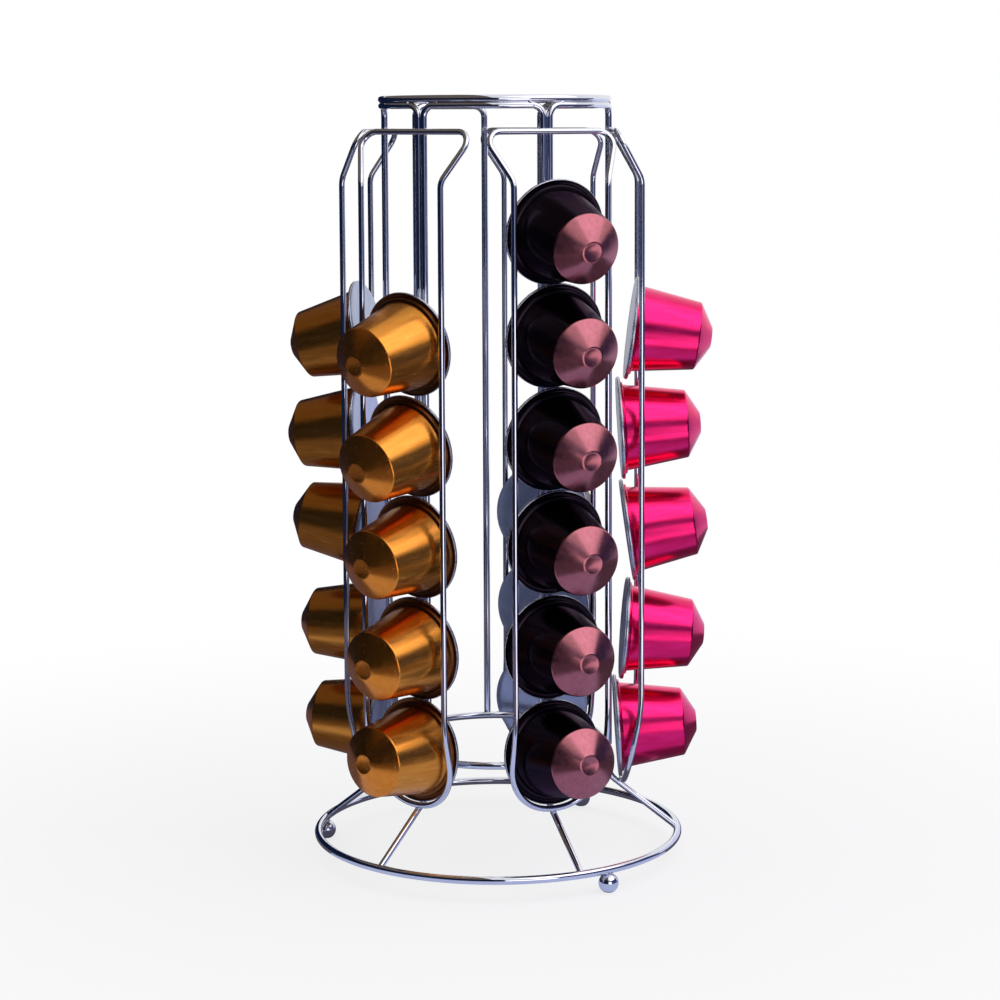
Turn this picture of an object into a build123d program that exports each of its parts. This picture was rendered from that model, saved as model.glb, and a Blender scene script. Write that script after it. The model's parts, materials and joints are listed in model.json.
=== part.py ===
from build123d import *
import math
import os

# Coffee capsule dispenser: a free-standing tower of welded chromed wire.
# Five columns of capsules stand round it with their noses outward. Each column is a
# tall front loop and the legs of the back guides behind it, and the capsules' rims
# stand on edge in the channel between the two.
# The origin is on the tower's axis, on the surface that it stands on, and +Z is up.
# An azimuth is measured in degrees from -Y, the front, towards +X.

# Sizes of the tower, in millimetres
top_ring_height = 273.0
top_ring_radius = 40.2
top_ring_wire = 2.6
lower_ring_height = 40.9
lower_ring_wire = 2.6
base_ring_radius = 65.6
base_ring_wire = 2.8
weld_depth = 0.25

# Sizes of the ball feet
foot_diameter = 7.0
foot_flat_diameter = 1.8
foot_azimuths = (35.5, 150.5, 257.0)

# Sizes of the back guides
guide_wire = 2.4
guide_bend_radius = 4.0
guide_pair_gap = 0.1
gap_guide_azimuths = (185.5, 226.0)

# Sizes of the front loops
loop_wire = 2.1
channel_depth = 8.85
rim_hold = 1.65
loop_bar_drop = 11.2
loop_bar_gap = 0.4
loop_bar_bend_radius = 4.9
loop_mouth_length = 16.8
loop_shoulder_bend_radius = 7.0
loop_knee_rise = 29.6
loop_knee_bend_radius = 55.0
loop_foot_height = 26.4
loop_foot_offset = 3.8
loop_foot_bend_share = 0.97

# Sizes of the base spokes
spoke_wire = 2.2
spoke_knee_offset = 3.05
spoke_bend_radius = 5.0

# Sizes of a capsule
rim_diameter = 37.0
rim_thickness = 1.0
foil_inset = 0.3
foil_thickness = 0.3
flange_width = 1.7
collar_thickness = 0.9
collar_step = 1.35
body_taper = 3.3
capsule_length = 29.4
nose_length = 5.0
tip_diameter = 7.3
tip_lip_width = 0.85
tip_recess_depth = 0.4
capsule_wall = 0.4

# Sizes of the stacks
capsule_clearance = 0.2
rim_overlap = 0.8

# The columns, in order round the tower, and where each stands
column_names = ("left", "front_left", "front_right", "right", "rear")
column_azimuths = (-103.5, -38.9, 25.8, 89.4, 157.2)

# The capsules of each column from the bottom up: how far the nose is tipped up, as a share
# of the steepest tilt that the channel allows, and where the rim stands in the channel,
# from 0 against the back guides to 1 against the front loop
nose_tilt_shares = (
    (0.18, -0.04, 0.5, -0.37, -0.82),
    (0.03, -0.38, -0.49, -0.82, -0.7),
    (0.18, -0.12, -0.46, -0.58, -0.66, -0.74),
    (0.22, -0.28, 0.5, 0.22, -0.46),
    (0.13, -0.22, -0.38),
)
rim_seat_shares = (
    (0.0, 0.3, 0.7, 1.0, 1.0),
    (0.3, 0.0, 0.0, 0.5, 0.85),
    (0.0, 0.05, 0.31, 0.0, 0.0, 0.0),
    (0.0, 0.45, 0.65, 0.2, 1.0),
    (0.0, 0.27, 0.0),
)

# Sizes that follow from those above
rim_radius = rim_diameter / 2
edge_thickness = rim_thickness + foil_thickness
foil_radius = rim_radius - foil_inset
collar_radius = rim_radius - flange_width
body_radius = collar_radius - collar_step
shoulder_radius = body_radius - body_taper
shoulder_distance = capsule_length - nose_length
tip_radius = tip_diameter / 2
tip_recess_radius = tip_radius - tip_lip_width
guide_top_height = top_ring_height - (top_ring_wire + guide_wire) / 2 + weld_depth
guide_top_radius = top_ring_radius
guide_leg_radius = math.hypot(guide_top_radius, guide_bend_radius)
guide_front_radius = guide_leg_radius + guide_wire / 2
guide_pair_angle = math.degrees(math.asin((guide_wire + guide_pair_gap) / 2 / guide_leg_radius))
lower_ring_radius = guide_leg_radius - (guide_wire + lower_ring_wire) / 2 + weld_depth
guide_foot_height = lower_ring_height - lower_ring_wire / 2
foot_middle_height = math.sqrt(foot_diameter**2 - foot_flat_diameter**2) / 2
base_ring_height = foot_middle_height + (foot_diameter + base_ring_wire) / 2 - weld_depth
spoke_knee_radius = lower_ring_radius + spoke_knee_offset
column_spacing = min(there - here for here, there in zip(column_azimuths, column_azimuths[1:]))
loop_bar_height = top_ring_height - loop_bar_drop
loop_bar_radius = guide_leg_radius + (guide_wire + loop_wire) / 2 - weld_depth
loop_bar_half_width = loop_bar_radius * math.tan(math.radians(column_spacing / 2)) - loop_bar_gap
loop_shoulder_height = loop_bar_height - loop_mouth_length
loop_leg_radius = guide_front_radius + channel_depth + loop_wire / 2
loop_half_width = rim_radius - rim_hold + loop_wire / 2
loop_knee_height = loop_foot_height + loop_knee_rise
loop_foot_radius = guide_front_radius + loop_foot_offset
leg_reach = math.sqrt(rim_radius**2 - (rim_radius - rim_hold) ** 2)
rim_room = channel_depth - edge_thickness - capsule_clearance * 2
steepest_tilt = math.degrees(math.asin(rim_room / (rim_radius + leg_reach)))


def column_plane(azimuth):
    """Plane through the axis: x runs across the column, y up, and z outward."""
    turn = math.radians(azimuth)
    return Plane(
        origin=(0, 0, 0),
        x_dir=(math.cos(turn), math.sin(turn), 0),
        z_dir=(math.sin(turn), -math.cos(turn), 0),
    )


def on_circle(radius, azimuth, height):
    turn = math.radians(azimuth)
    return Vector(radius * math.sin(turn), -radius * math.cos(turn), height)


def along_circle(azimuth):
    """The direction in which the azimuth grows."""
    turn = math.radians(azimuth)
    return Vector(math.cos(turn), math.sin(turn), 0)


def wire_ring(radius, wire, height):
    with BuildPart(Plane.XY.offset(height)) as ring:
        Torus(radius, wire / 2)
    return ring


def ball_foot(azimuth, ring):
    """A ball welded under the base ring, with a small flat where it stands."""
    with BuildPart() as foot:
        with Locations(on_circle(base_ring_radius, azimuth, foot_middle_height)):
            Sphere(foot_diameter / 2)
        split(bisect_by=Plane.XY, keep=Keep.TOP)
        add(ring.part, mode=Mode.SUBTRACT)
    return foot


def front_loop(azimuth, guides):
    """A closed wire loop: a flared mouth at the top, two legs and a round foot."""
    plane = column_plane(azimuth)
    with BuildPart() as loop:
        with BuildLine(plane) as half:
            FilletPolyline(
                (0, loop_bar_height, loop_bar_radius),
                (loop_bar_half_width, loop_bar_height, loop_bar_radius),
                (loop_half_width, loop_shoulder_height, loop_leg_radius),
                (loop_half_width, loop_knee_height, loop_leg_radius),
                (loop_half_width, loop_foot_height, loop_foot_radius),
                (0, loop_foot_height, loop_foot_radius),
                radius=(
                    loop_bar_bend_radius,
                    loop_shoulder_bend_radius,
                    loop_knee_bend_radius,
                    loop_half_width * loop_foot_bend_share,
                ),
            )
        with BuildSketch(Plane(origin=half.line @ 0, z_dir=half.line % 0)):
            Circle(loop_wire / 2)
        sweep(path=half.wire())
        mirror(about=Plane(origin=plane.origin, z_dir=plane.x_dir))
        for guide in guides:
            add(guide.part, mode=Mode.SUBTRACT)
    return loop


def back_guide(first_azimuth, last_azimuth, rings):
    """An upside-down U: two legs joined by an arc that follows the top ring."""
    bend_angle = math.degrees(math.atan2(guide_bend_radius, guide_top_radius))
    bend_height = guide_top_height - guide_bend_radius
    arc_start = first_azimuth + bend_angle
    arc_end = last_azimuth - bend_angle
    first_foot = on_circle(guide_leg_radius, first_azimuth, guide_foot_height)
    first_bend = on_circle(guide_leg_radius, first_azimuth, bend_height)
    last_bend = on_circle(guide_leg_radius, last_azimuth, bend_height)
    last_foot = on_circle(guide_leg_radius, last_azimuth, guide_foot_height)
    first_top = on_circle(guide_top_radius, arc_start, guide_top_height)
    last_top = on_circle(guide_top_radius, arc_end, guide_top_height)
    with BuildPart() as guide:
        with BuildLine() as path:
            Line(first_foot, first_bend)
            TangentArc(first_bend, first_top, tangent=(0, 0, 1))
            TangentArc(first_top, last_top, tangent=along_circle(arc_start))
            TangentArc(last_top, last_bend, tangent=along_circle(arc_end))
            Line(last_bend, last_foot)
        with BuildSketch(Plane(origin=first_foot, z_dir=(0, 0, 1))):
            Circle(guide_wire / 2)
        sweep(path=path.wire())
        for ring in rings:
            add(ring.part, mode=Mode.SUBTRACT)
    return guide


def base_spoke(azimuth, neighbours):
    """A wire from the base ring up under the loop's foot and on to the lower ring."""
    loop_rise = math.atan2(loop_foot_height - base_ring_height, base_ring_radius - loop_foot_radius)
    offset = (loop_wire + spoke_wire) / 2 - weld_depth
    under_loop = (
        loop_foot_radius - offset * math.sin(loop_rise),
        loop_foot_height - offset * math.cos(loop_rise),
    )
    slope = (under_loop[1] - base_ring_height) / (base_ring_radius - under_loop[0])
    knee_height = under_loop[1] + (under_loop[0] - spoke_knee_radius) * slope
    with BuildPart() as spoke:
        with BuildLine(column_plane(azimuth)) as path:
            FilletPolyline(
                (0, base_ring_height, base_ring_radius),
                (0, knee_height, spoke_knee_radius),
                (0, lower_ring_height, lower_ring_radius),
                radius=spoke_bend_radius,
            )
        with BuildSketch(Plane(origin=path.line @ 0, z_dir=path.line % 0)):
            Circle(spoke_wire / 2)
        sweep(path=path.wire())
        for neighbour in neighbours:
            add(neighbour.part, mode=Mode.SUBTRACT)
    return spoke


def rim_place(tilt, share):
    """How far out the middle of a tilted rim stands in its channel."""
    lean = abs(math.sin(math.radians(tilt)))
    half_edge = edge_thickness / 2
    inner = guide_front_radius + capsule_clearance + rim_radius * lean + half_edge
    outer = loop_leg_radius - loop_wire / 2 - capsule_clearance - leg_reach * lean - half_edge
    return inner + (outer - inner) * share


def stack_step(lower_tilt, lower_place, upper_tilt, upper_place):
    """From one rim's middle up to the next one's: rims that lean apart overlap a little."""
    lower = math.radians(lower_tilt)
    upper = math.radians(upper_tilt)
    apart = upper_place - lower_place + rim_radius * (math.sin(upper) + math.sin(lower))
    touching = rim_radius * (math.cos(upper) + math.cos(lower))
    if abs(apart) > edge_thickness + capsule_clearance:
        return touching - rim_overlap
    return touching + capsule_clearance * 2


def column_places(tilt_shares, seat_shares):
    """The tilt, the distance from the axis and the height of each rim in a column.

    Capsules go in as long as the top of their rim stays under the bar of the loop.
    """
    places = []
    for tilt_share, seat_share in zip(tilt_shares, seat_shares):
        tilt = steepest_tilt * tilt_share
        radius = rim_place(tilt, seat_share)
        if places:
            below = places[-1]
            height = below[2] + stack_step(below[0], below[1], tilt, radius)
        else:
            foot_top = loop_foot_height + loop_wire / 2 + capsule_clearance
            height = foot_top + rim_radius * math.cos(math.radians(tilt))
        if height + rim_radius > loop_bar_height - loop_wire:
            break
        places.append((tilt, radius, height))
    return places


def capsule(azimuth, tilt, radius, height):
    """A thin cup with a flanged rim, and the foil lid on the rim's back."""
    column = column_plane(azimuth)
    lean = math.radians(tilt)
    nose = column.z_dir * math.cos(lean) + column.y_dir * math.sin(lean)
    rim_middle = column.from_local_coords((0, height, radius))
    back = rim_middle - nose * (edge_thickness / 2)
    profile_plane = Plane(origin=back, x_dir=nose, z_dir=-column.x_dir)
    axis = Axis(back, nose)
    collar_end = edge_thickness + collar_thickness
    recess_floor = capsule_length - tip_recess_depth
    nose_slope = (shoulder_radius - tip_radius) / nose_length
    nose_wall = capsule_wall * math.hypot(1, nose_slope)
    with BuildPart() as cup:
        with BuildSketch(profile_plane):
            with BuildLine():
                Polyline(
                    (foil_thickness, rim_radius),
                    (edge_thickness, rim_radius),
                    (edge_thickness, collar_radius),
                    (collar_end, collar_radius),
                    (collar_end, body_radius),
                    (shoulder_distance, shoulder_radius),
                    (capsule_length, tip_radius),
                    (capsule_length, tip_recess_radius),
                    (recess_floor, tip_recess_radius),
                    (recess_floor, 0),
                    (recess_floor - capsule_wall, 0),
                    (recess_floor - capsule_wall, tip_radius - nose_wall),
                    (shoulder_distance - capsule_wall, shoulder_radius - capsule_wall),
                    (foil_thickness, body_radius - capsule_wall),
                    close=True,
                )
            make_face()
        revolve(axis=axis)
    with BuildPart() as lid:
        with BuildSketch(Plane(origin=back, x_dir=column.x_dir, z_dir=nose)):
            Circle(foil_radius)
        extrude(amount=foil_thickness)
    return Compound(children=[cup.part, lid.part])


def save(shape, name):
    shape.label = name
    export_step(shape, f"parts/{name}.step")


os.makedirs("parts", exist_ok=True)

# The three rings and the feet
top_ring = wire_ring(top_ring_radius, top_ring_wire, top_ring_height)
lower_ring = wire_ring(lower_ring_radius, lower_ring_wire, lower_ring_height)
base_ring = wire_ring(base_ring_radius, base_ring_wire, base_ring_height)
save(top_ring.part, "top_ring")
save(lower_ring.part, "lower_ring")
save(base_ring.part, "base_ring")
for number, azimuth in enumerate(foot_azimuths, start=1):
    foot = ball_foot(azimuth, base_ring)
    save(foot.part, f"ball_foot_{number}")

# The back guides: one from each column to the next, and one across the gap at the back
guide_ends = []
for here, there in zip(column_azimuths, column_azimuths[1:]):
    guide_ends.append((here + guide_pair_angle, there - guide_pair_angle))
guide_ends.append(gap_guide_azimuths)
guides = [back_guide(first, last, (top_ring, lower_ring)) for first, last in guide_ends]
for number, guide in enumerate(guides, start=1):
    save(guide.part, f"back_guide_{number}")

# The front loop and the spoke of each column
for number, column in enumerate(column_names):
    azimuth = column_azimuths[number]
    loop = front_loop(azimuth, guides[max(number - 1, 0) : number + 1])
    spoke = base_spoke(azimuth, (base_ring, lower_ring, loop))
    save(loop.part, f"{column}_front_loop")
    save(spoke.part, f"{column}_base_spoke")

# The capsules of each column
for column, azimuth, tilts, seats in zip(column_names, column_azimuths, nose_tilt_shares, rim_seat_shares):
    for number, (tilt, radius, height) in enumerate(column_places(tilts, seats), start=1):
        piece = capsule(azimuth, tilt, radius, height)
        save(piece, f"{column}_capsule_{number}")
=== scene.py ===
import json
import math

import bpy
import numpy as np
from mathutils import Matrix, Vector


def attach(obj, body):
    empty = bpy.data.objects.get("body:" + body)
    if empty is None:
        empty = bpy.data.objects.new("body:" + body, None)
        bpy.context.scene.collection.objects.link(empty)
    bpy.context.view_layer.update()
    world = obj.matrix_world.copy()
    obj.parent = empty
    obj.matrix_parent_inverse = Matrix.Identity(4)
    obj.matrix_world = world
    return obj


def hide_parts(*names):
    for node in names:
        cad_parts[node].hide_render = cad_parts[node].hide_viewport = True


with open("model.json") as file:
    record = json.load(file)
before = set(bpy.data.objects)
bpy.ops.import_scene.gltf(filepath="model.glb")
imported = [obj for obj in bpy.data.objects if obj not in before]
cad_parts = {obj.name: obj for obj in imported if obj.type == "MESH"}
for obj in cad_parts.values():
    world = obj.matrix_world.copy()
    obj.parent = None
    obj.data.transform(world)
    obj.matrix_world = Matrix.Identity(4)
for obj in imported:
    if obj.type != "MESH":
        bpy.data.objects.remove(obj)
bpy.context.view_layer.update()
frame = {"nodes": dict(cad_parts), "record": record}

MM = 0.001

# The stand's wires, in millimetres, as in the solids
TOP_RING_HEIGHT = 273.0
TOP_RING_RADIUS = 40.2
TOP_RING_WIRE = 2.6
LOWER_RING_HEIGHT = 40.9
LOWER_RING_WIRE = 2.6
BASE_RING_RADIUS = 65.6
BASE_RING_WIRE = 2.8
FOOT_DIAMETER = 7.0
FOOT_AZIMUTHS = (35.5, 150.5, 257.0)
GUIDE_WIRE = 2.4
GUIDE_BEND = 4.0
GUIDE_PAIR_GAP = 0.1
GAP_GUIDE_AZIMUTHS = (185.5, 226.0)
LOOP_BAR_HEIGHT = 261.8
LOOP_FOOT_HEIGHT = 26.4
LOOP_FOOT_RADIUS = 45.4
WELD_DEPTH = 0.25
COLUMN_AZIMUTHS = (-103.5, -38.9, 25.8, 89.4, 157.2)

GUIDE_LEG_RADIUS = math.hypot(TOP_RING_RADIUS, GUIDE_BEND)
GUIDE_PAIR_ANGLE = math.degrees(math.asin((GUIDE_WIRE + GUIDE_PAIR_GAP) / 2 / GUIDE_LEG_RADIUS))
LOWER_RING_RADIUS = GUIDE_LEG_RADIUS - (GUIDE_WIRE + LOWER_RING_WIRE) / 2 + WELD_DEPTH
BASE_RING_HEIGHT = FOOT_DIAMETER + BASE_RING_WIRE / 2 - WELD_DEPTH

# A capsule's profile, in millimetres: radii, and distances along the axis from the lid's back
RIM_RADIUS = 18.5
RIM_FRONT = 1.3
RIM_ROLL = 0.28
ROLL_INSET = 0.2
FLANGE_FRONT = 1.16
FLANGE_FILLET = 0.12
COLLAR_RADIUS = 16.75
COLLAR_START = 1.35
COLLAR_BEND = 1.9
COLLAR_FRONT = 2.2
COLLAR_TAPER = 0.12
COLLAR_ROUND = 0.5
BODY_RADIUS = 15.45
BODY_FILLET = 0.35
BODY_FILLET_MIDDLE = 0.1
SHOULDER_RADIUS = 12.15
SHOULDER_DISTANCE = 24.4
SHOULDER_ROUND = 0.45
TIP_RADIUS = 3.65
TIP_ROUND = 0.35
CAPSULE_LENGTH = 29.4
DISH_RADIUS = 3.1
DISH_DEPTH = 0.32
DISH_ROUND = 0.2

# The foil lid's profile, in millimetres
FOIL_RADIUS = 18.2
FOIL_THICKNESS = 0.3
FOIL_GAP = 0.02
FOIL_BEVEL_WIDTH = 0.2
FOIL_BEVEL_DEPTH = 0.05
SEAL_WIDTH = 2.0
SEAL_FRONT_SLOPE = 0.4
SEAL_BACK_SLOPE = 0.5
SEAL_BACK_STEP = 0.1
SHELL_SLOPE = 0.3
FOIL_DIP = 0.16
DIP_SLOPE = 0.8
DIP_SLOPE_SHARE = 0.9

# The beads of weld, in millimetres: half their width, and how far they lie from the wire or ball
ARC_BEAD = 1.1
LOWER_RING_BEAD = 1.15
BAR_BEAD = 1.0
LOOP_FOOT_BEAD = 1.15
LOOP_FOOT_BEAD_INWARD = 0.7
LOOP_FOOT_BEAD_DROP = 0.85
SPOKE_BEAD = 1.2
SPOKE_TOP_BEAD_DROP = 1.15
SPOKE_END_BEAD_INWARD = 1.2
SPOKE_END_BEAD_RISE = 0.55
BALL_BEAD = 1.35
BALL_BEAD_DROP = 0.25

# How far round from a guide's leg the bead of its arc lies, in degrees
ARC_WELD_TURN = 7

# The shape of a bead, as shares of its size
BEAD_FLATTENING = 0.8
BEAD_LUMP = 0.09
BEAD_TWIST = 0.06

# How finely the meshes are stepped
LATHE_STEPS = 128
CORNER_STEPS = 4
DISH_STEPS = 10
BEAD_ROWS = 10
BEAD_STEPS = 16
CARD_STEPS = 12
SHARP_DEGREES = 40

# How a capsule's lid is told from the other faces of its solid: area in square metres, depth in
# millimetres, the rest as shares
SMALLEST_AREA = 1e-12
LARGE_FACE_SHARE = 0.02
SAME_DIRECTION = 0.9999
LID_DEPTH = 0.05

# How far inside the roll a face of the profile may lie and still count as the rim's edge
EDGE_TOLERANCE = 0.01

# The places of a shell's materials in its list
BODY, NOSE, EDGE, FLANGE = range(4)

# The mesh attribute that keeps a turned piece's own coordinates
OWN_PLACE = "own_place"


# Small helpers for materials


def new_material(name):
    material = bpy.data.materials.new(name)
    material.use_nodes = True
    tree = material.node_tree
    return material, tree, tree.nodes["Principled BSDF"]


def add_node(tree, kind, **values):
    node = tree.nodes.new(kind)
    for key, value in values.items():
        setattr(node, key, value)
    return node


def scene_coordinates(tree):
    return add_node(tree, "ShaderNodeTexCoord").outputs["Object"]


def own_coordinates(tree):
    """The coordinates that a turned piece had before it was put in its place."""
    return add_node(tree, "ShaderNodeAttribute", attribute_name=OWN_PLACE).outputs["Vector"]


def mapped_noise(tree, place, scale, stretch, detail=3.0):
    """A value from 0 to 1 that varies over a piece's coordinates, stretched along each axis."""
    mapping = add_node(tree, "ShaderNodeMapping")
    mapping.inputs["Scale"].default_value = stretch
    noise = add_node(tree, "ShaderNodeTexNoise")
    noise.inputs["Scale"].default_value = scale
    noise.inputs["Detail"].default_value = detail
    tree.links.new(place, mapping.inputs["Vector"])
    tree.links.new(mapping.outputs["Vector"], noise.inputs["Vector"])
    return noise.outputs["Fac"]


def vary_roughness(tree, shader, source, low, high):
    """Sets the roughness between low and high by a value from 0 to 1."""
    ramp = add_node(tree, "ShaderNodeMapRange")
    ramp.inputs["To Min"].default_value = low
    ramp.inputs["To Max"].default_value = high
    tree.links.new(source, ramp.inputs["Value"])
    tree.links.new(ramp.outputs["Result"], shader.inputs["Roughness"])


def vary_colour(tree, shader, source, dark, light):
    """Sets the colour between dark and light by a value from 0 to 1."""
    ramp = add_node(tree, "ShaderNodeValToRGB")
    ramp.color_ramp.elements[0].position = 0.3
    ramp.color_ramp.elements[0].color = (*dark, 1)
    ramp.color_ramp.elements[1].position = 0.7
    ramp.color_ramp.elements[1].color = (*light, 1)
    tree.links.new(source, ramp.inputs["Fac"])
    tree.links.new(ramp.outputs["Color"], shader.inputs["Base Color"])


def bump(tree, shader, source, strength, distance):
    node = add_node(tree, "ShaderNodeBump")
    node.inputs["Strength"].default_value = strength
    node.inputs["Distance"].default_value = distance
    tree.links.new(source, node.inputs["Height"])
    tree.links.new(node.outputs["Normal"], shader.inputs["Normal"])


# Materials


def chrome_material():
    """Bright chrome plating, with the faintest haze."""
    material, tree, shader = new_material("chrome_plating")
    haze = mapped_noise(tree, scene_coordinates(tree), scale=90.0, stretch=(1, 1, 1))
    shader.inputs["Metallic"].default_value = 1.0
    vary_colour(tree, shader, haze, (0.66, 0.68, 0.75), (0.73, 0.75, 0.81))
    vary_roughness(tree, shader, haze, 0.04, 0.10)
    return material


def weld_material():
    """The plated bead of a weld: a little duller than the wire."""
    material, tree, shader = new_material("chrome_weld")
    grain = mapped_noise(tree, scene_coordinates(tree), scale=900.0, stretch=(1, 1, 1))
    shader.inputs["Metallic"].default_value = 1.0
    vary_colour(tree, shader, grain, (0.55, 0.55, 0.60), (0.72, 0.72, 0.76))
    vary_roughness(tree, shader, grain, 0.12, 0.30)
    bump(tree, shader, grain, strength=0.25, distance=0.0003)
    return material


def anodised_material(name, dark, light, roughness):
    """Coloured aluminium, drawn along the capsule's axis, which leaves fine lines."""
    material, tree, shader = new_material(name)
    place = own_coordinates(tree)
    lines = mapped_noise(tree, place, scale=130.0, stretch=(6.0, 6.0, 0.12), detail=4.0)
    shader.inputs["Metallic"].default_value = 1.0
    vary_colour(tree, shader, lines, dark, light)
    vary_roughness(tree, shader, lines, roughness - 0.05, roughness + 0.07)
    return material


def lacquer_material():
    """Near-black lacquered aluminium with a faint purple cast."""
    material, tree, shader = new_material("capsule_dark_lacquer")
    cloud = mapped_noise(tree, own_coordinates(tree), scale=60.0, stretch=(1, 1, 0.3))
    shader.inputs["Metallic"].default_value = 0.95
    vary_colour(tree, shader, cloud, (0.011, 0.007, 0.013), (0.018, 0.011, 0.019))
    vary_roughness(tree, shader, cloud, 0.20, 0.28)
    shader.inputs["Specular Tint"].default_value = (0.52, 0.45, 0.50, 1)
    shader.inputs["Coat Weight"].default_value = 0.05
    shader.inputs["Coat Roughness"].default_value = 0.12
    return material


def foil_material():
    """The grey-blue foil of the lids, with shallow wrinkles."""
    material, tree, shader = new_material("lid_foil")
    place = own_coordinates(tree)
    wrinkle = mapped_noise(tree, place, scale=220.0, stretch=(1, 1, 1), detail=2.0)
    shader.inputs["Metallic"].default_value = 0.95
    vary_colour(tree, shader, wrinkle, (0.34, 0.39, 0.54), (0.42, 0.47, 0.62))
    vary_roughness(tree, shader, wrinkle, 0.26, 0.36)
    bump(tree, shader, wrinkle, strength=0.15, distance=0.0003)
    return material


# Meshes


def mesh_object(name, points, faces, materials, slots=None):
    mesh = bpy.data.meshes.new(name)
    mesh.from_pydata(points, [], faces)
    for material in materials:
        mesh.materials.append(material)
    if slots is not None:
        mesh.polygons.foreach_set("material_index", slots)
    mesh.shade_smooth()
    mesh.set_sharp_from_angle(angle=math.radians(SHARP_DEGREES))
    mesh.validate()
    piece = bpy.data.objects.new(name, mesh)
    bpy.context.scene.collection.objects.link(piece)
    return piece


def lathe(name, profile, materials, slots):
    """Turns a profile of (distance, radius) round Z. It starts and ends on the axis."""
    steps = LATHE_STEPS
    points = [(0, 0, profile[0][0] * MM)]
    for distance, radius in profile[1:-1]:
        for step in range(steps):
            turn = math.tau * step / steps
            across = radius * MM * math.cos(turn)
            up = radius * MM * math.sin(turn)
            points.append((across, up, distance * MM))
    points.append((0, 0, profile[-1][0] * MM))
    last = len(points) - 1
    faces = []
    face_slots = []
    for step in range(steps):
        after = (step + 1) % steps
        faces.append((0, 1 + step, 1 + after))
        face_slots.append(slots[0])
    for row in range(len(profile) - 3):
        here = 1 + row * steps
        for step in range(steps):
            after = (step + 1) % steps
            faces.append((here + step, here + steps + step, here + steps + after, here + after))
            face_slots.append(slots[row + 1])
    here = 1 + (len(profile) - 3) * steps
    for step in range(steps):
        after = (step + 1) % steps
        faces.append((last, here + after, here + step))
        face_slots.append(slots[-1])
    return mesh_object(name, points, faces, materials, face_slots)


def arc(centre, radius, start, end):
    """Points of an arc in the profile's plane; angles in degrees from the axis direction."""
    found = []
    for step in range(CORNER_STEPS + 1):
        turn = math.radians(start + (end - start) * step / CORNER_STEPS)
        found.append((centre[0] + radius * math.cos(turn), centre[1] + radius * math.sin(turn)))
    return found


def corner(before, at, after, radius):
    """A rounded corner of the profile, as a few points of its tangent curve."""
    here = Vector(at)
    back = (Vector(before) - here).normalized() * radius
    on = (Vector(after) - here).normalized() * radius
    found = []
    for step in range(CORNER_STEPS + 1):
        share = step / CORNER_STEPS
        point = here + back * (1 - share) ** 2 + on * share**2
        found.append((point.x, point.y))
    return found


def dish_profile():
    """The shallow dish in the tip, from its edge to the axis."""
    dish = []
    for step in range(1, DISH_STEPS + 1):
        share = 1 - step / DISH_STEPS
        dish.append((CAPSULE_LENGTH - DISH_DEPTH * (1 - share**2), DISH_RADIUS * share))
    lip = (CAPSULE_LENGTH, DISH_RADIUS)
    return corner((CAPSULE_LENGTH, TIP_RADIUS), lip, dish[0], DISH_ROUND) + dish


def shell_profile():
    """The shell from the middle of its back, over the rim and along the body to the tip."""
    shoulder = (SHOULDER_DISTANCE, SHOULDER_RADIUS)
    tip = (CAPSULE_LENGTH, TIP_RADIUS)
    body_start = (COLLAR_FRONT + BODY_FILLET, BODY_RADIUS)
    roll_radius = RIM_RADIUS - RIM_ROLL
    dip_radius = FOIL_RADIUS - SEAL_WIDTH
    back = [
        (FOIL_THICKNESS + FOIL_DIP, 0),
        (FOIL_THICKNESS + FOIL_DIP, dip_radius),
        (FOIL_THICKNESS, dip_radius + SHELL_SLOPE),
    ]
    roll = arc((FOIL_THICKNESS + RIM_ROLL, roll_radius), RIM_ROLL, 180, 90)
    roll += arc((RIM_FRONT - RIM_ROLL, roll_radius), RIM_ROLL, 90, 0)
    flange = [
        (FLANGE_FRONT, roll_radius - ROLL_INSET),
        (FLANGE_FRONT, COLLAR_RADIUS + FLANGE_FILLET),
    ]
    collar = [
        (COLLAR_START, COLLAR_RADIUS),
        (COLLAR_BEND, COLLAR_RADIUS - COLLAR_TAPER),
        (COLLAR_FRONT, COLLAR_RADIUS - COLLAR_ROUND),
        (COLLAR_FRONT, BODY_RADIUS + BODY_FILLET),
        (COLLAR_FRONT + BODY_FILLET_MIDDLE, BODY_RADIUS + BODY_FILLET_MIDDLE),
        body_start,
    ]
    nose = corner(body_start, shoulder, tip, SHOULDER_ROUND)
    nose += corner(shoulder, tip, (CAPSULE_LENGTH, 0), TIP_ROUND)
    profile = back + roll + flange + collar + nose + dish_profile()
    slots = []
    nose_start = SHOULDER_DISTANCE - SHOULDER_ROUND / 2
    for first, second in zip(profile, profile[1:]):
        middle = (first[0] + second[0]) / 2
        if middle > nose_start and second[1] < SHOULDER_RADIUS:
            slots.append(NOSE)
        elif min(first[1], second[1]) > roll_radius - EDGE_TOLERANCE:
            slots.append(EDGE)
        elif middle < body_start[0]:
            slots.append(FLANGE)
        else:
            slots.append(BODY)
    return profile, slots


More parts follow.
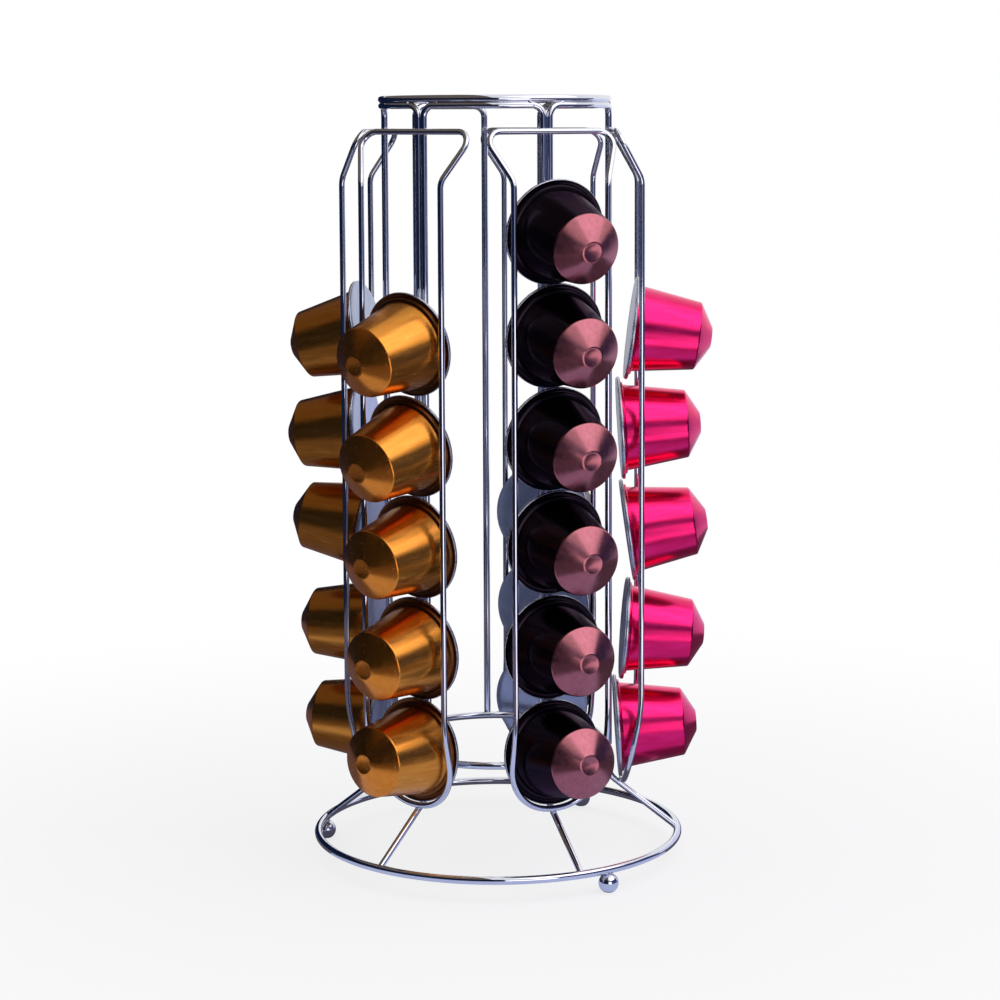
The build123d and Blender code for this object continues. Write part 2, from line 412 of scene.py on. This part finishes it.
def lid_profile():
    """The foil lid: a flat seal on the rim round a slightly sunken middle."""
    inner = FOIL_RADIUS - SEAL_WIDTH
    front = FOIL_THICKNESS - FOIL_GAP
    sunken_front = FOIL_THICKNESS + FOIL_DIP - FOIL_GAP
    return [
        (FOIL_DIP, 0),
        (FOIL_DIP, inner / 2),
        (FOIL_DIP * DIP_SLOPE_SHARE, inner - DIP_SLOPE),
        (FOIL_GAP, inner + SEAL_BACK_STEP),
        (0.0, inner + SEAL_BACK_SLOPE),
        (0.0, FOIL_RADIUS - FOIL_BEVEL_WIDTH),
        (FOIL_BEVEL_DEPTH, FOIL_RADIUS),
        (front, FOIL_RADIUS),
        (front, inner + SEAL_FRONT_SLOPE),
        (sunken_front, inner),
        (sunken_front, 0),
    ]


def capsule_place(node):
    """Where a capsule's solid stands: the middle of its lid's back, facing along the nose."""
    mesh = frame["nodes"][node].data
    mesh.calc_loop_triangles()
    count = len(mesh.loop_triangles)
    corners = np.empty(count * 3, np.int32)
    mesh.loop_triangles.foreach_get("vertices", corners)
    points = np.empty(len(mesh.vertices) * 3, np.float32)
    mesh.vertices.foreach_get("co", points)
    points = points.reshape(-1, 3).astype(float)
    triangles = points[corners.reshape(-1, 3)]
    cross = np.cross(triangles[:, 1] - triangles[:, 0], triangles[:, 2] - triangles[:, 0])
    area = np.linalg.norm(cross, axis=1) / 2
    kept = area > SMALLEST_AREA
    normal = cross[kept] / (2 * area[kept, None])
    middle = triangles[kept].mean(axis=1)
    area = area[kept]
    outward = middle * (1, 1, 0)
    inward_facing = (normal * outward).sum(axis=1) < 0
    best = None
    for candidate in normal[inward_facing & (area > area.max() * LARGE_FACE_SHARE)]:
        same = normal @ candidate > SAME_DIRECTION
        total = area[same].sum()
        if best is None or total > best[0]:
            best = (total, candidate)
    back = best[1]
    same = normal @ back > SAME_DIRECTION
    depth = middle @ back
    lid = same & (depth > depth[same].max() - LID_DEPTH * MM)
    centre = (middle[lid] * area[lid, None]).sum(axis=0) / area[lid].sum()
    nose = Vector(-back).normalized()
    across = Vector((-nose.y, nose.x, 0)).normalized()
    up = nose.cross(across)
    turn = Matrix((across, up, nose)).transposed().to_4x4()
    return Matrix.Translation(Vector(centre)) @ turn


def put_in_place(piece, place):
    """Moves a piece's points to their place, and keeps their own coordinates for the materials."""
    mesh = piece.data
    own = np.empty(len(mesh.vertices) * 3, np.float32)
    mesh.vertices.foreach_get("co", own)
    mesh.attributes.new(OWN_PLACE, "FLOAT_VECTOR", "POINT").data.foreach_set("vector", own)
    mesh.transform(place)


def capsule(node, shell_materials, foil):
    place = capsule_place(node)
    profile, slots = shell_profile()
    shell = lathe(f"{node}_shell", profile, shell_materials, slots)
    foil_profile = lid_profile()
    lid = lathe(f"{node}_lid", foil_profile, [foil], [0] * (len(foil_profile) - 1))
    for piece in (shell, lid):
        put_in_place(piece, place)
        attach(piece, node)
        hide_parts(node)


# The welds


def on_circle(radius, azimuth, height):
    turn = math.radians(azimuth)
    return Vector((radius * math.sin(turn), -radius * math.cos(turn), height))


def weld_points():
    """Where wires are welded, and how large the bead is, in millimetres."""
    found = []
    ends = []
    for here, there in zip(COLUMN_AZIMUTHS, COLUMN_AZIMUTHS[1:]):
        ends.append((here + GUIDE_PAIR_ANGLE, there - GUIDE_PAIR_ANGLE))
    ends.append(GAP_GUIDE_AZIMUTHS)
    under_top = TOP_RING_HEIGHT - TOP_RING_WIRE / 2
    beside_lower = GUIDE_LEG_RADIUS - GUIDE_WIRE / 2
    before_guide = GUIDE_LEG_RADIUS + GUIDE_WIRE / 2
    for first, last in ends:
        for azimuth in (first + ARC_WELD_TURN, last - ARC_WELD_TURN):
            found.append((on_circle(TOP_RING_RADIUS, azimuth, under_top), ARC_BEAD))
        for azimuth in (first, last):
            found.append((on_circle(beside_lower, azimuth, LOWER_RING_HEIGHT), LOWER_RING_BEAD))
    for first, last in ends[:-1]:
        for azimuth in (first, last):
            found.append((on_circle(before_guide, azimuth, LOOP_BAR_HEIGHT), BAR_BEAD))
    foot_radius = LOOP_FOOT_RADIUS - LOOP_FOOT_BEAD_INWARD
    foot_height = LOOP_FOOT_HEIGHT - LOOP_FOOT_BEAD_DROP
    spoke_top_height = LOWER_RING_HEIGHT - SPOKE_TOP_BEAD_DROP
    spoke_end_radius = BASE_RING_RADIUS - SPOKE_END_BEAD_INWARD
    spoke_end_height = BASE_RING_HEIGHT + SPOKE_END_BEAD_RISE
    for azimuth in COLUMN_AZIMUTHS:
        found.append((on_circle(foot_radius, azimuth, foot_height), LOOP_FOOT_BEAD))
        found.append((on_circle(LOWER_RING_RADIUS, azimuth, spoke_top_height), SPOKE_BEAD))
        found.append((on_circle(spoke_end_radius, azimuth, spoke_end_height), SPOKE_BEAD))
    for azimuth in FOOT_AZIMUTHS:
        height = FOOT_DIAMETER - BALL_BEAD_DROP
        found.append((on_circle(BASE_RING_RADIUS, azimuth, height), BALL_BEAD))
    return found


def weld_beads(material):
    """All the beads of weld as one piece of small flattened lumps."""
    rows = BEAD_ROWS
    steps = BEAD_STEPS
    points = []
    faces = []
    for number, (centre, size) in enumerate(weld_points()):
        start = len(points)
        rise = size * BEAD_FLATTENING
        points.append((centre + Vector((0, 0, rise))) * MM)
        for row in range(1, rows):
            fall = math.pi * row / rows
            for step in range(steps):
                turn = math.tau * step / steps
                lump = 1 + BEAD_LUMP * math.sin(3 * turn + number)
                lump += BEAD_TWIST * math.sin(2 * fall + 5 * turn + number * 2)
                out = size * lump * math.sin(fall)
                offset = Vector((out * math.cos(turn), out * math.sin(turn), rise * math.cos(fall)))
                points.append((centre + offset) * MM)
        points.append((centre - Vector((0, 0, rise))) * MM)
        end = len(points) - 1
        for step in range(steps):
            after = (step + 1) % steps
            faces.append((start, start + 1 + step, start + 1 + after))
            low = start + 1 + (rows - 2) * steps
            faces.append((end, low + after, low + step))
            for row in range(rows - 2):
                here = start + 1 + row * steps
                faces.append((here + step, here + steps + step, here + steps + after, here + after))
    piece = mesh_object("weld_beads", points, faces, [material])
    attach(piece, "stand")


# The room: floor, cards, lamp and world, with lengths in metres
FLOOR_HALF_WIDTH = 30.0
CARD_DISTANCE = 0.5


def card_material(name, colour, strength):
    """Even light of one colour, with no shine of its own."""
    material, _, shader = new_material(name)
    shader.inputs["Base Color"].default_value = (*colour, 1)
    shader.inputs["Roughness"].default_value = 1.0
    shader.inputs["Specular IOR Level"].default_value = 0.0
    shader.inputs["Emission Color"].default_value = (*colour, 1)
    shader.inputs["Emission Strength"].default_value = strength
    return material


def floor_material():
    """White near the object, where it takes the shadow, and fading to plain white light."""
    material, tree, shader = new_material("floor_white")
    shader.inputs["Base Color"].default_value = (0.90, 0.90, 0.90, 1)
    shader.inputs["Roughness"].default_value = 0.9
    shader.inputs["Specular IOR Level"].default_value = 0.1
    glow = add_node(tree, "ShaderNodeEmission")
    glow.inputs["Color"].default_value = (1, 1, 1, 1)
    place = add_node(tree, "ShaderNodeTexCoord")
    length = add_node(tree, "ShaderNodeVectorMath", operation="LENGTH")
    fade = add_node(tree, "ShaderNodeMapRange", interpolation_type="SMOOTHSTEP")
    fade.inputs["From Min"].default_value = 0.12
    fade.inputs["From Max"].default_value = 0.45
    fade.inputs["To Min"].default_value = 0.74
    mix = add_node(tree, "ShaderNodeMixShader")
    output = tree.nodes["Material Output"]
    tree.links.new(place.outputs["Object"], length.inputs[0])
    tree.links.new(length.outputs["Value"], fade.inputs["Value"])
    tree.links.new(fade.outputs["Result"], mix.inputs["Fac"])
    tree.links.new(shader.outputs["BSDF"], mix.inputs[1])
    tree.links.new(glow.outputs["Emission"], mix.inputs[2])
    tree.links.new(mix.outputs["Shader"], output.inputs["Surface"])
    return material


def add_floor():
    size = FLOOR_HALF_WIDTH
    corners = [(-size, -size, 0), (size, -size, 0), (size, size, 0), (-size, size, 0)]
    floor = mesh_object("floor", corners, [(0, 1, 2, 3)], [floor_material()])


def show_only_in_reflections(card):
    card.visible_camera = False
    card.visible_diffuse = False
    card.visible_shadow = False
    card.visible_transmission = False


def add_card(name, azimuths, heights, colour, strength=1.0):
    """A tall curved card round the object, seen only in its reflections."""
    steps = CARD_STEPS
    points = []
    for step in range(steps + 1):
        azimuth = azimuths[0] + (azimuths[1] - azimuths[0]) * step / steps
        for height in heights:
            points.append(on_circle(CARD_DISTANCE, azimuth, height))
    faces = [(2 * step, 2 * step + 1, 2 * step + 3, 2 * step + 2) for step in range(steps)]
    card = mesh_object(name, points, faces, [card_material(f"{name}_surface", colour, strength)])
    show_only_in_reflections(card)


def add_level_card(name, across, along, height, colour):
    """A level card, seen only in the object's reflections."""
    left, right = across
    near, far = along
    points = [(left, near, height), (right, near, height), (right, far, height), (left, far, height)]
    card = mesh_object(name, points, [(0, 1, 2, 3)], [card_material(f"{name}_surface", colour, 1.0)])
    show_only_in_reflections(card)


def add_lamp(name, place, target, size, power, colour):
    data = bpy.data.lights.new(name, "AREA")
    data.shape = "RECTANGLE"
    data.size = size[0]
    data.size_y = size[1]
    data.energy = power
    data.color = colour
    lamp = bpy.data.objects.new(name, data)
    lamp.location = place
    lamp.rotation_euler = (Vector(target) - Vector(place)).to_track_quat("-Z", "Y").to_euler()
    lamp.visible_camera = False
    bpy.context.scene.collection.objects.link(lamp)


def set_world():
    """White to the camera and to reflections, and a soft even light on everything else."""
    world = bpy.data.worlds.new("studio")
    world.use_nodes = True
    tree = world.node_tree
    soft = tree.nodes["Background"]
    soft.inputs["Color"].default_value = (0.95, 0.97, 1.0, 1)
    soft.inputs["Strength"].default_value = 0.75
    seen = add_node(tree, "ShaderNodeBackground")
    seen.inputs["Color"].default_value = (1, 1, 1, 1)
    seen.inputs["Strength"].default_value = 1.0
    path = add_node(tree, "ShaderNodeLightPath")
    reflected = add_node(tree, "ShaderNodeMath", operation="MAXIMUM")
    either = add_node(tree, "ShaderNodeMath", operation="MAXIMUM")
    mix = add_node(tree, "ShaderNodeMixShader")
    tree.links.new(path.outputs["Is Glossy Ray"], reflected.inputs[0])
    tree.links.new(path.outputs["Is Transmission Ray"], reflected.inputs[1])
    tree.links.new(path.outputs["Is Camera Ray"], either.inputs[0])
    tree.links.new(reflected.outputs["Value"], either.inputs[1])
    tree.links.new(either.outputs["Value"], mix.inputs["Fac"])
    tree.links.new(soft.outputs["Background"], mix.inputs[1])
    tree.links.new(seen.outputs["Background"], mix.inputs[2])
    tree.links.new(mix.outputs["Shader"], tree.nodes["World Output"].inputs["Surface"])
    bpy.context.scene.world = world


# The camera, fitted to the photograph: lengths in pixels of the photograph where the name says so,
# else in millimetres, and angles in degrees
PHOTO_PIXELS = 1000
SENSOR = 36.0
FOCAL_PIXELS = 2531.7
CAMERA_DISTANCE = 904.8
CAMERA_HEIGHT = 266.7
CAMERA_PITCH = 6.379
CAMERA_ROLL = -0.265
VIEW_SHIFT_UP = -0.1
AXIS_OFFSET_PIXELS = -3.86


def set_camera():
    data = bpy.data.cameras.new("photo_camera")
    data.sensor_width = SENSOR
    data.lens = FOCAL_PIXELS / PHOTO_PIXELS * SENSOR
    data.shift_x = -AXIS_OFFSET_PIXELS / PHOTO_PIXELS
    data.shift_y = VIEW_SHIFT_UP
    data.clip_end = 100.0
    camera = bpy.data.objects.new("photo_camera", data)
    camera.location = (0, -CAMERA_DISTANCE * MM, CAMERA_HEIGHT * MM)
    look = Matrix.Rotation(math.radians(90 - CAMERA_PITCH), 4, "X")
    roll = Matrix.Rotation(math.radians(CAMERA_ROLL), 4, "Z")
    camera.rotation_euler = (look @ roll).to_euler()
    bpy.context.scene.collection.objects.link(camera)
    bpy.context.scene.camera = camera


chrome = chrome_material()
weld = weld_material()
foil = foil_material()
edge = anodised_material("rim_edge", (0.46, 0.46, 0.52), (0.56, 0.56, 0.62), 0.26)
gold = anodised_material("capsule_gold", (0.68, 0.25, 0.033), (0.79, 0.32, 0.055), 0.24)
gold_nose = anodised_material("capsule_gold_nose", (0.73, 0.23, 0.026), (0.84, 0.29, 0.043), 0.24)
# The gold capsule's flange and collar are painted dark brown. This is painted shade for the dark
# reflection there, darker than the gold they are made of.
gold_flange_painted_shade = anodised_material("capsule_gold_flange_painted_shade", (0.14, 0.05, 0.014), (0.19, 0.07, 0.02), 0.30)
red = anodised_material("capsule_red", (0.74, 0.014, 0.12), (0.86, 0.022, 0.18), 0.22)
copper = anodised_material("capsule_copper", (0.34, 0.112, 0.13), (0.42, 0.142, 0.166), 0.22)
lacquer = lacquer_material()
shells = {
    "gold_capsule": [gold, gold_nose, edge, gold_flange_painted_shade],
    "dark_capsule": [lacquer, copper, edge, lacquer],
    "red_capsule": [red, red, edge, red],
}

for entry in frame["record"]["subparts"]:
    node = entry["node"]
    slot = entry["material_slot"]
    if slot in shells:
        capsule(node, shells[slot], foil)
    else:
        solid = frame["nodes"][node]
        solid.data.materials.clear()
        solid.data.materials.append(chrome)
        solid.data.shade_smooth()
weld_beads(weld)

add_floor()
set_world()
add_card("left_flag", (-168, 4), (0.0, 0.42), (0.003, 0.006, 0.018))
add_card("front_card", (4, 34), (0.0, 0.175), (1.0, 0.96, 1.0), strength=1.05)
add_card("front_upper_flag", (4, 34), (0.175, 0.31), (0.13, 0.14, 0.22))
add_card("right_card", (34, 110), (0.0, 0.31), (0.025, 0.032, 0.09))
add_card("back_right_card", (110, 160), (0.0, 0.205), (0.42, 0.43, 0.56))
add_level_card("left_ceiling", (-2.6, -0.06), (-2.6, 1.4), 0.8, (0.075, 0.060, 0.050))
add_level_card("floor_flag", (-0.9, 0.9), (-0.9, 0.9), 0.0004, (0.062, 0.057, 0.078))
add_level_card("front_right_floor", (0.085, 0.9), (-0.9, -0.2), 0.0006, (0.80, 0.74, 0.80))
add_level_card("near_floor", (-0.16, 0.16), (-0.17, -0.02), 0.0008, (0.30, 0.33, 0.46))
add_lamp(
    "front_right_softbox",
    place=(0.78, -0.45, 1.07),
    target=(0, 0, 0.14),
    size=(1.4, 1.0),
    power=5.0,
    colour=(0.90, 0.82, 1.0),
)
set_camera()

bpy.context.scene.view_settings.view_transform = "Standard"
